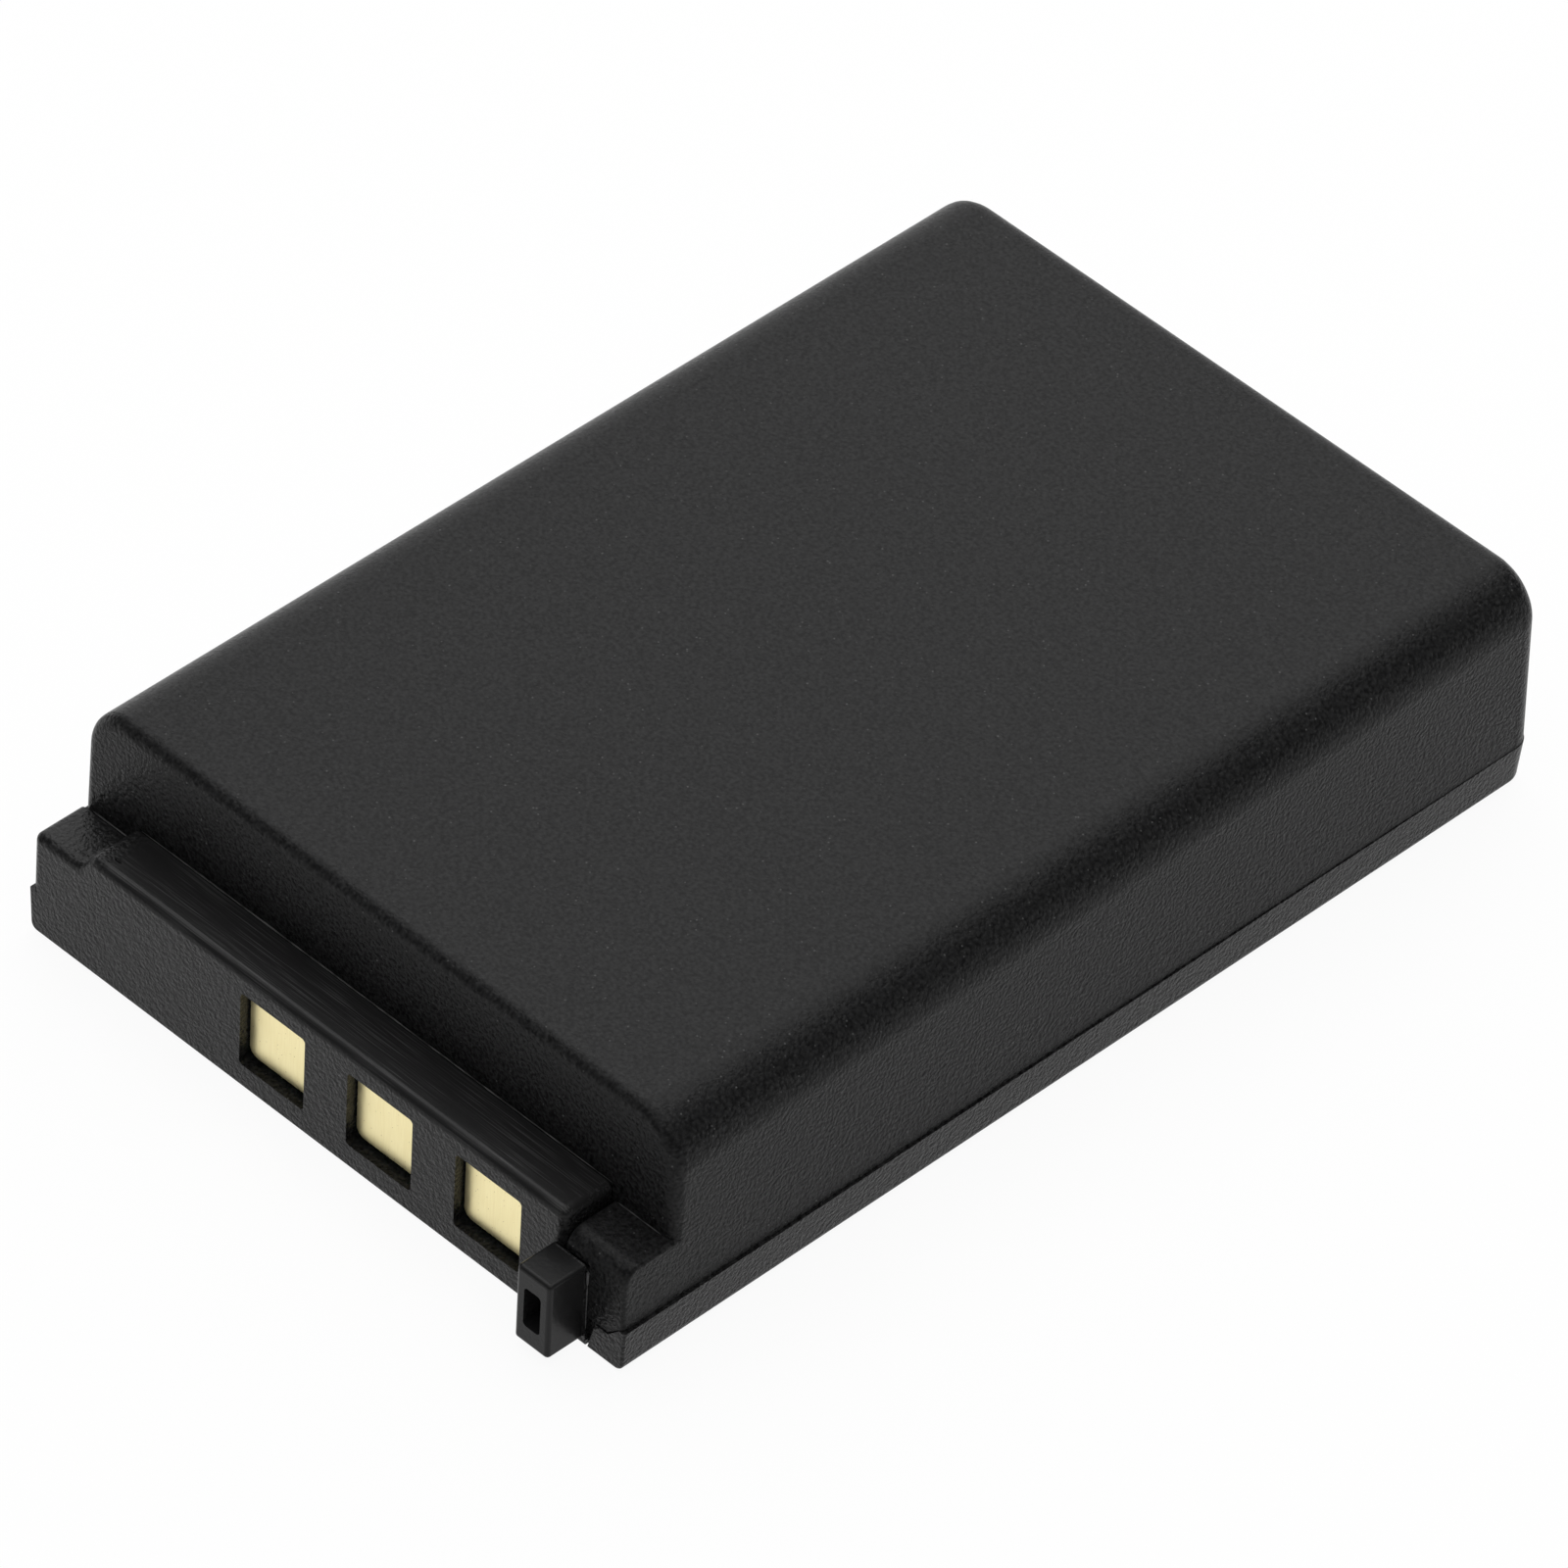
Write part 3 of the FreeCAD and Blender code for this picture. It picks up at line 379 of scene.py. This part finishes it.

# Where the mouldings meet, a hair of flash stands up from the seam. It is the same plastic, pressed
# out between the halves, and its paler grey, mottled at random, is a painted highlight along the seam.
# A bead of it hangs at the lug's root.
FLASH_HIGHLIGHT_GREY = (0.090, 0.090, 0.090, 1.0)
FLASH_ROUGHNESS = 0.5
FLASH_SPECULAR = 0.3
FLASH_HIGHLIGHT_STREAKS = (1.5, 6.0, 6.0)
FLASH_HIGHLIGHT_DETAIL = 3.0
FLASH_HIGHLIGHT_SPAN = (0.35, 0.6)
FLASH_STEPS = 70
FLASH_SIDES = 8
FLASH_SWELL = 0.2
FLASH_WAVES_PER_MM = (3.1, 1.3)
FLASH_WAVE_LAG = 0.7
FLASH_TIP = 0.15
FLASH_TIP_SHARE = 0.1
STRIP_SEAM = ((-13.7, -22.79, 6.25), (13.85, -22.79, 6.25))
LEDGE_SEAM = ((-16.65, -22.79, 5.35), (-14.5, -22.79, 5.35))
SHOULDER_SEAM = ((14.2, -22.75, 5.36), (16.7, -22.75, 5.36))
ROOT_BEAD = ((15.35, -25.45, 4.12), (15.35, -25.45, 3.3))
ROOT_SEAM = ((15.35, -25.45, 3.35), (15.35, -25.45, 0.9))

flash_grey, tree, shader, place = finish_named(
    "trimmed_flash", FLASH_HIGHLIGHT_GREY, FLASH_ROUGHNESS, specular=FLASH_SPECULAR)
flash_highlight_streaks = noise(tree, stretched(tree, place, FLASH_HIGHLIGHT_STREAKS), detail=FLASH_HIGHLIGHT_DETAIL)
# The paler grey of the flash is a painted highlight along the seams.
flash_highlight_tone = colour_mix(tree, ranged(tree, flash_highlight_streaks, *FLASH_HIGHLIGHT_SPAN), PLASTIC_GREY, FLASH_HIGHLIGHT_GREY)
tree.links.new(flash_highlight_tone, shader.inputs["Base Color"])


def flash_line(name, seam, start_radius, end_radius):
    """A ridge along a seam, thick and thin by turns, and drawn out at its ends."""
    mesh = bpy.data.meshes.new(name)
    ridge = bmesh.new()
    start, end = Vector(seam[0]), Vector(seam[1])
    turn_to_line = (end - start).to_track_quat("Z", "Y")
    quick, slow = FLASH_WAVES_PER_MM
    rings = []
    for step in range(FLASH_STEPS + 1):
        along = step / FLASH_STEPS
        middle = start.lerp(end, along)
        run = (middle - start).length
        wave = math.sin(quick * run) * math.sin(slow * run + FLASH_WAVE_LAG)
        swell = 1.0 - FLASH_SWELL + FLASH_SWELL * wave
        full = min(1.0, along / FLASH_TIP_SHARE, (1.0 - along) / FLASH_TIP_SHARE)
        taper = full * (1.0 - FLASH_TIP) + FLASH_TIP
        radius = (start_radius + along * (end_radius - start_radius)) * swell * taper
        ring = []
        for side in range(FLASH_SIDES):
            turn = 2.0 * math.pi * side / FLASH_SIDES
            out = turn_to_line @ Vector((math.cos(turn), math.sin(turn), 0.0))
            ring.append(ridge.verts.new((middle + radius * out) / MM_PER_METRE))
        rings.append(ring)
    for near, far in zip(rings, rings[1:]):
        for side in range(FLASH_SIDES):
            after = (side + 1) % FLASH_SIDES
            ridge.faces.new((near[side], near[after], far[after], far[side]))
    ridge.faces.new(reversed(rings[0]))
    ridge.faces.new(rings[-1])
    bmesh.ops.recalc_face_normals(ridge, faces=ridge.faces)
    for face in ridge.faces:
        face.smooth = True
    ridge.to_mesh(mesh)
    ridge.free()
    mesh.materials.append(flash_grey)
    piece = bpy.data.objects.new(name, mesh)
    bpy.context.scene.collection.objects.link(piece)
    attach(piece, "root")


flash_line("strip_flash", STRIP_SEAM, start_radius=0.045, end_radius=0.035)
flash_line("ledge_flash", LEDGE_SEAM, start_radius=0.04, end_radius=0.04)
flash_line("shoulder_flash", SHOULDER_SEAM, start_radius=0.04, end_radius=0.04)
flash_line("root_bead", ROOT_BEAD, start_radius=0.085, end_radius=0.035)
flash_line("root_flash", ROOT_SEAM, start_radius=0.03, end_radius=0.025)

# The studio is a pale floor under one large soft lamp, behind the pack and to its left. The room is
# pale low down all round, dark above that, and has a bright ceiling. The floor glows white to the
# eye and a little less in reflections, and keeps the pack's shadow.
FLOOR_SIZE = 8.0
FLOOR_PANELS = 4
FLOOR_DROP = 0.00005
FLOOR_PALE = (0.9, 0.9, 0.9, 1.0)
FLOOR_GLOW = 0.93
MIRRORED_GLOW = 0.8
LAMP_TOWARDS = Vector((-0.505, 0.539, 0.674))
LAMP_REACH = 0.8
LAMP_SIDE = 1.0
LAMP_POWER = 5.0
ROOM_DARK = (0.08, 0.08, 0.08, 1.0)
ROOM_CEILING = (1.6, 1.6, 1.6, 1.0)
ROOM_PALE = (1.0, 1.0, 1.0, 1.0)
WALL_FOOT = (0.06, 0.10)
CEILING_EDGE = (0.60, 0.95)

floor_mesh = bpy.data.meshes.new("studio_floor")
sheet = bmesh.new()
bmesh.ops.create_grid(sheet, x_segments=FLOOR_PANELS, y_segments=FLOOR_PANELS, size=FLOOR_SIZE / 2.0)
sheet.to_mesh(floor_mesh)
sheet.free()
floor = bpy.data.objects.new("studio_floor", floor_mesh)
floor.location.z = -FLOOR_DROP
bpy.context.scene.collection.objects.link(floor)

floor_white = bpy.data.materials.new("studio_floor")
floor_white.use_nodes = True
tree = floor_white.node_tree
tree.nodes.clear()
lit = add(tree, "BsdfDiffuse", {"Color": FLOOR_PALE})
glow = add(tree, "Emission", {"Color": ROOM_PALE, "Strength": 1.0})
ray = tree.nodes.new("ShaderNodeLightPath").outputs
seen = reckoned(tree, "MAXIMUM", ray["Is Camera Ray"], ray["Is Transmission Ray"])
seen = reckoned(tree, "MULTIPLY", seen, FLOOR_GLOW)
mirrored = reckoned(tree, "MULTIPLY", ray["Is Glossy Ray"], MIRRORED_GLOW)
glowing = reckoned(tree, "MAXIMUM", seen, mirrored)
shown = add(tree, "MixShader", {0: glowing, 1: lit, 2: glow})
output = tree.nodes.new("ShaderNodeOutputMaterial")
tree.links.new(shown, output.inputs["Surface"])
floor_mesh.materials.append(floor_white)

lamp_light = bpy.data.lights.new("soft_lamp", "AREA")
lamp_light.shape = "SQUARE"
lamp_light.size = LAMP_SIDE
lamp_light.energy = LAMP_POWER
lamp = bpy.data.objects.new("soft_lamp", lamp_light)
lamp.location = LAMP_TOWARDS * LAMP_REACH
lamp.rotation_euler = LAMP_TOWARDS.to_track_quat("Z", "Y").to_euler()
bpy.context.scene.collection.objects.link(lamp)

room = bpy.data.worlds.new("studio_room")
room.use_nodes = True
tree = room.node_tree
up = axis_of(tree, add(tree, "TexCoord", out="Generated"), "Z")
wall = ranged(tree, up, *WALL_FOOT, curve="SMOOTHSTEP")
ceiling = ranged(tree, up, *CEILING_EDGE, curve="SMOOTHSTEP")
upper_room = colour_mix(tree, ceiling, ROOM_DARK, ROOM_CEILING)
tree.links.new(colour_mix(tree, wall, ROOM_PALE, upper_room), tree.nodes["Background"].inputs["Color"])
bpy.context.scene.world = room

# The camera looks down on the contact end and the right side from the photograph's angle.
# It stands far off with a long lens, so the long edges of the pack stay nearly parallel.
CAMERA_LENS = 318.5467
CAMERA_SENSOR = 36.0
CAMERA_PLACE = Vector((0.2891483, -0.3076713, 0.3891886))
CAMERA_RIGHT = Vector((0.70046964, 0.71231416, 0.04416805))
CAMERA_UP = Vector((-0.50363899, 0.44951889, 0.73775372))
CAMERA_BACK = Vector((0.50565804, -0.53901883, 0.67362351))

camera_lens = bpy.data.cameras.new("camera")
camera_lens.sensor_width = CAMERA_SENSOR
camera_lens.lens = CAMERA_LENS
camera = bpy.data.objects.new("camera", camera_lens)
turned = Matrix((CAMERA_RIGHT, CAMERA_UP, CAMERA_BACK)).transposed()
camera.matrix_world = Matrix.Translation(CAMERA_PLACE) @ turned.to_4x4()
bpy.context.scene.collection.objects.link(camera)
bpy.context.scene.camera = camera
bpy.context.scene.view_settings.view_transform = "Standard"
